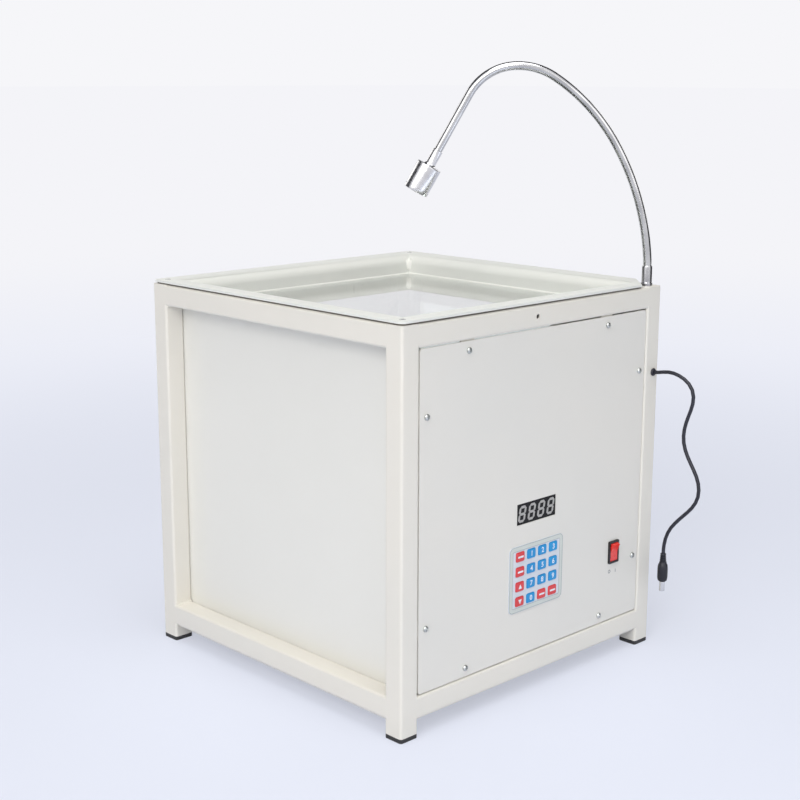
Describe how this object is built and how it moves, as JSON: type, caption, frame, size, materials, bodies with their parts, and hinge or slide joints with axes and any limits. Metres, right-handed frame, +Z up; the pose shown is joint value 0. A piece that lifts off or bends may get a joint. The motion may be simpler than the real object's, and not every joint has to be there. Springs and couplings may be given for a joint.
{
  "type": "ripple tank",
  "caption": "Ripple tank: square tube frame with sheet panels, glass water tray, inner mirror, frosted screen, gooseneck lamp, keypad, display, switch and low voltage lead.",
  "frame": {"origin": "on the table, under the middle of the square frame", "axes": "+Z up, -Y out of the control panel, -X out of the frosted screen"},
  "size_m": [0.3411, 0.4008, 0.5607],
  "materials": {
    "frame_paint": "cream powder coat, satin",
    "panel_paint": "pale grey powder coat, satin",
    "foot_plastic": "black moulded, matt",
    "screw_steel": "zinc plated",
    "screen_acrylic": "opal acrylic, glossy",
    "tray_paint": "cream powder coat, satin",
    "gasket_rubber": "black foam rubber",
    "tray_glass": "clear float glass",
    "mirror_glass": "silvered glass",
    "ledge_steel": "bright steel strip",
    "display_black": "black window with unlit digits",
    "keypad_film": "printed overlay, matt",
    "board_green": "solder resist",
    "standoff_brass": "bright",
    "switch_black": "moulded, semi gloss",
    "rocker_red": "moulded, gloss",
    "neck_chrome": "polished, ribbed",
    "lamp_aluminium": "turned, satin",
    "lamp_lens": "frosted lens",
    "lamp_led": "LED star, unlit",
    "cord_black": "black flexible sheath, matt",
    "plug_metal": "nickel plated",
    "key_red": "printed film, matt",
    "key_blue": "printed film, matt"
  },
  "bodies": {
    "root": {"post_front_left": "frame_paint", "post_front_right": "frame_paint", "post_back_left": "frame_paint", "post_back_right": "frame_paint", "top_rail_front": "frame_paint", "top_rail_back": "frame_paint", "top_rail_left": "frame_paint", "top_rail_right": "frame_paint", "bottom_rail_front": "frame_paint", "bottom_rail_back": "frame_paint", "bottom_rail_left": "frame_paint", "bottom_rail_right": "frame_paint", "foot_caps": "foot_plastic", "panel_tabs": "frame_paint", "front_panel": "panel_paint", "right_panel": "panel_paint", "back_panel": "panel_paint", "base_plate": "frame_paint", "frame_screws": "screw_steel", "screen": "screen_acrylic", "tray_pan": "tray_paint", "tray_gasket": "gasket_rubber", "tray_glass": "tray_glass", "mirror_plate": "mirror_glass", "mirror_ledges": "ledge_steel", "display_module": "display_black", "keypad_body": "keypad_film", "control_board": "board_green", "board_standoffs": "standoff_brass", "switch_body": "switch_black", "neck_ferrule": "neck_chrome", "neck_segment_1": "neck_chrome", "cord_grommet": "cord_black", "cord": "cord_black", "plug_body": "cord_black", "plug_barrel": "plug_metal"},
    "switch_rocker_body": {"switch_rocker": "rocker_red"},
    "neck_lower": {"neck_segment_2": "neck_chrome"},
    "neck_middle": {"neck_segment_3": "neck_chrome"},
    "neck_upper": {"neck_segment_4": "neck_chrome"},
    "lamp_arm": {"neck_segment_5": "neck_chrome", "lamp_housing": "lamp_aluminium", "lamp_lens": "lamp_lens", "lamp_led": "lamp_led"},
    "button_r1_c1": {"key_row1_col1": "key_red"},
    "button_r1_c2": {"key_row1_col2": "key_blue"},
    "button_r1_c3": {"key_row1_col3": "key_blue"},
    "button_r1_c4": {"key_row1_col4": "key_blue"},
    "button_r2_c1": {"key_row2_col1": "key_red"},
    "button_r2_c2": {"key_row2_col2": "key_blue"},
    "button_r2_c3": {"key_row2_col3": "key_blue"},
    "button_r2_c4": {"key_row2_col4": "key_blue"},
    "button_r3_c1": {"key_row3_col1": "key_red"},
    "button_r3_c2": {"key_row3_col2": "key_blue"},
    "button_r3_c3": {"key_row3_col3": "key_blue"},
    "button_r3_c4": {"key_row3_col4": "key_blue"},
    "button_r4_c1": {"key_row4_col1": "key_red"},
    "button_r4_c2": {"key_row4_col2": "key_blue"},
    "button_r4_c3": {"key_row4_col3": "key_red"},
    "button_r4_c4": {"key_row4_col4": "key_red"}
  },
  "joints": [
    {"name": "neck_side_bend", "type": "hinge", "parent": "root", "child": "neck_lower", "pos_m": [0.15981, -0.15981, 0.38099], "axis": [-0.7049, 0.7049, -0.0785], "range_deg": [-15, 15]},
    {"name": "neck_curl", "type": "hinge", "parent": "neck_lower", "child": "neck_middle", "pos_m": [0.13683, -0.13683, 0.48565], "axis": [-0.7071, -0.7071, 0], "range_deg": [-12, 12]},
    {"name": "neck_curl_upper", "type": "hinge", "parent": "neck_middle", "child": "neck_upper", "pos_m": [0.09584, -0.09584, 0.54674], "axis": [-0.7071, -0.7071, 0], "range_deg": [-12, 12]},
    {"name": "neck_curl_end", "type": "hinge", "parent": "neck_upper", "child": "lamp_arm", "pos_m": [0.06822, -0.06822, 0.55648], "axis": [-0.7071, -0.7071, 0], "range_deg": [-12, 12]},
    {"name": "power_rocker", "type": "hinge", "parent": "root", "child": "switch_rocker_body", "pos_m": [0.111, -0.1685, 0.1055], "axis": [-1, 0, 0], "range_deg": [0, 20]},
    {"name": "press_r1_c1", "type": "slide", "parent": "root", "child": "button_r1_c1", "axis": [0, 1, 0], "range_m": [0, 0.0005], "stiffness_N_per_m": 200},
    {"name": "press_r1_c2", "type": "slide", "parent": "root", "child": "button_r1_c2", "axis": [0, 1, 0], "range_m": [0, 0.0005], "stiffness_N_per_m": 200},
    {"name": "press_r1_c3", "type": "slide", "parent": "root", "child": "button_r1_c3", "axis": [0, 1, 0], "range_m": [0, 0.0005], "stiffness_N_per_m": 200},
    {"name": "press_r1_c4", "type": "slide", "parent": "root", "child": "button_r1_c4", "axis": [0, 1, 0], "range_m": [0, 0.0005], "stiffness_N_per_m": 200},
    {"name": "press_r2_c1", "type": "slide", "parent": "root", "child": "button_r2_c1", "axis": [0, 1, 0], "range_m": [0, 0.0005], "stiffness_N_per_m": 200},
    {"name": "press_r2_c2", "type": "slide", "parent": "root", "child": "button_r2_c2", "axis": [0, 1, 0], "range_m": [0, 0.0005], "stiffness_N_per_m": 200},
    {"name": "press_r2_c3", "type": "slide", "parent": "root", "child": "button_r2_c3", "axis": [0, 1, 0], "range_m": [0, 0.0005], "stiffness_N_per_m": 200},
    {"name": "press_r2_c4", "type": "slide", "parent": "root", "child": "button_r2_c4", "axis": [0, 1, 0], "range_m": [0, 0.0005], "stiffness_N_per_m": 200},
    {"name": "press_r3_c1", "type": "slide", "parent": "root", "child": "button_r3_c1", "axis": [0, 1, 0], "range_m": [0, 0.0005], "stiffness_N_per_m": 200},
    {"name": "press_r3_c2", "type": "slide", "parent": "root", "child": "button_r3_c2", "axis": [0, 1, 0], "range_m": [0, 0.0005], "stiffness_N_per_m": 200},
    {"name": "press_r3_c3", "type": "slide", "parent": "root", "child": "button_r3_c3", "axis": [0, 1, 0], "range_m": [0, 0.0005], "stiffness_N_per_m": 200},
    {"name": "press_r3_c4", "type": "slide", "parent": "root", "child": "button_r3_c4", "axis": [0, 1, 0], "range_m": [0, 0.0005], "stiffness_N_per_m": 200},
    {"name": "press_r4_c1", "type": "slide", "parent": "root", "child": "button_r4_c1", "axis": [0, 1, 0], "range_m": [0, 0.0005], "stiffness_N_per_m": 200},
    {"name": "press_r4_c2", "type": "slide", "parent": "root", "child": "button_r4_c2", "axis": [0, 1, 0], "range_m": [0, 0.0005], "stiffness_N_per_m": 200},
    {"name": "press_r4_c3", "type": "slide", "parent": "root", "child": "button_r4_c3", "axis": [0, 1, 0], "range_m": [0, 0.0005], "stiffness_N_per_m": 200},
    {"name": "press_r4_c4", "type": "slide", "parent": "root", "child": "button_r4_c4", "axis": [0, 1, 0], "range_m": [0, 0.0005], "stiffness_N_per_m": 200}
  ],
  "couplings": [
    {"joint": "neck_curl_upper", "follows": "neck_curl", "ratio": 1},
    {"joint": "neck_curl_end", "follows": "neck_curl", "ratio": 1}
  ]
}
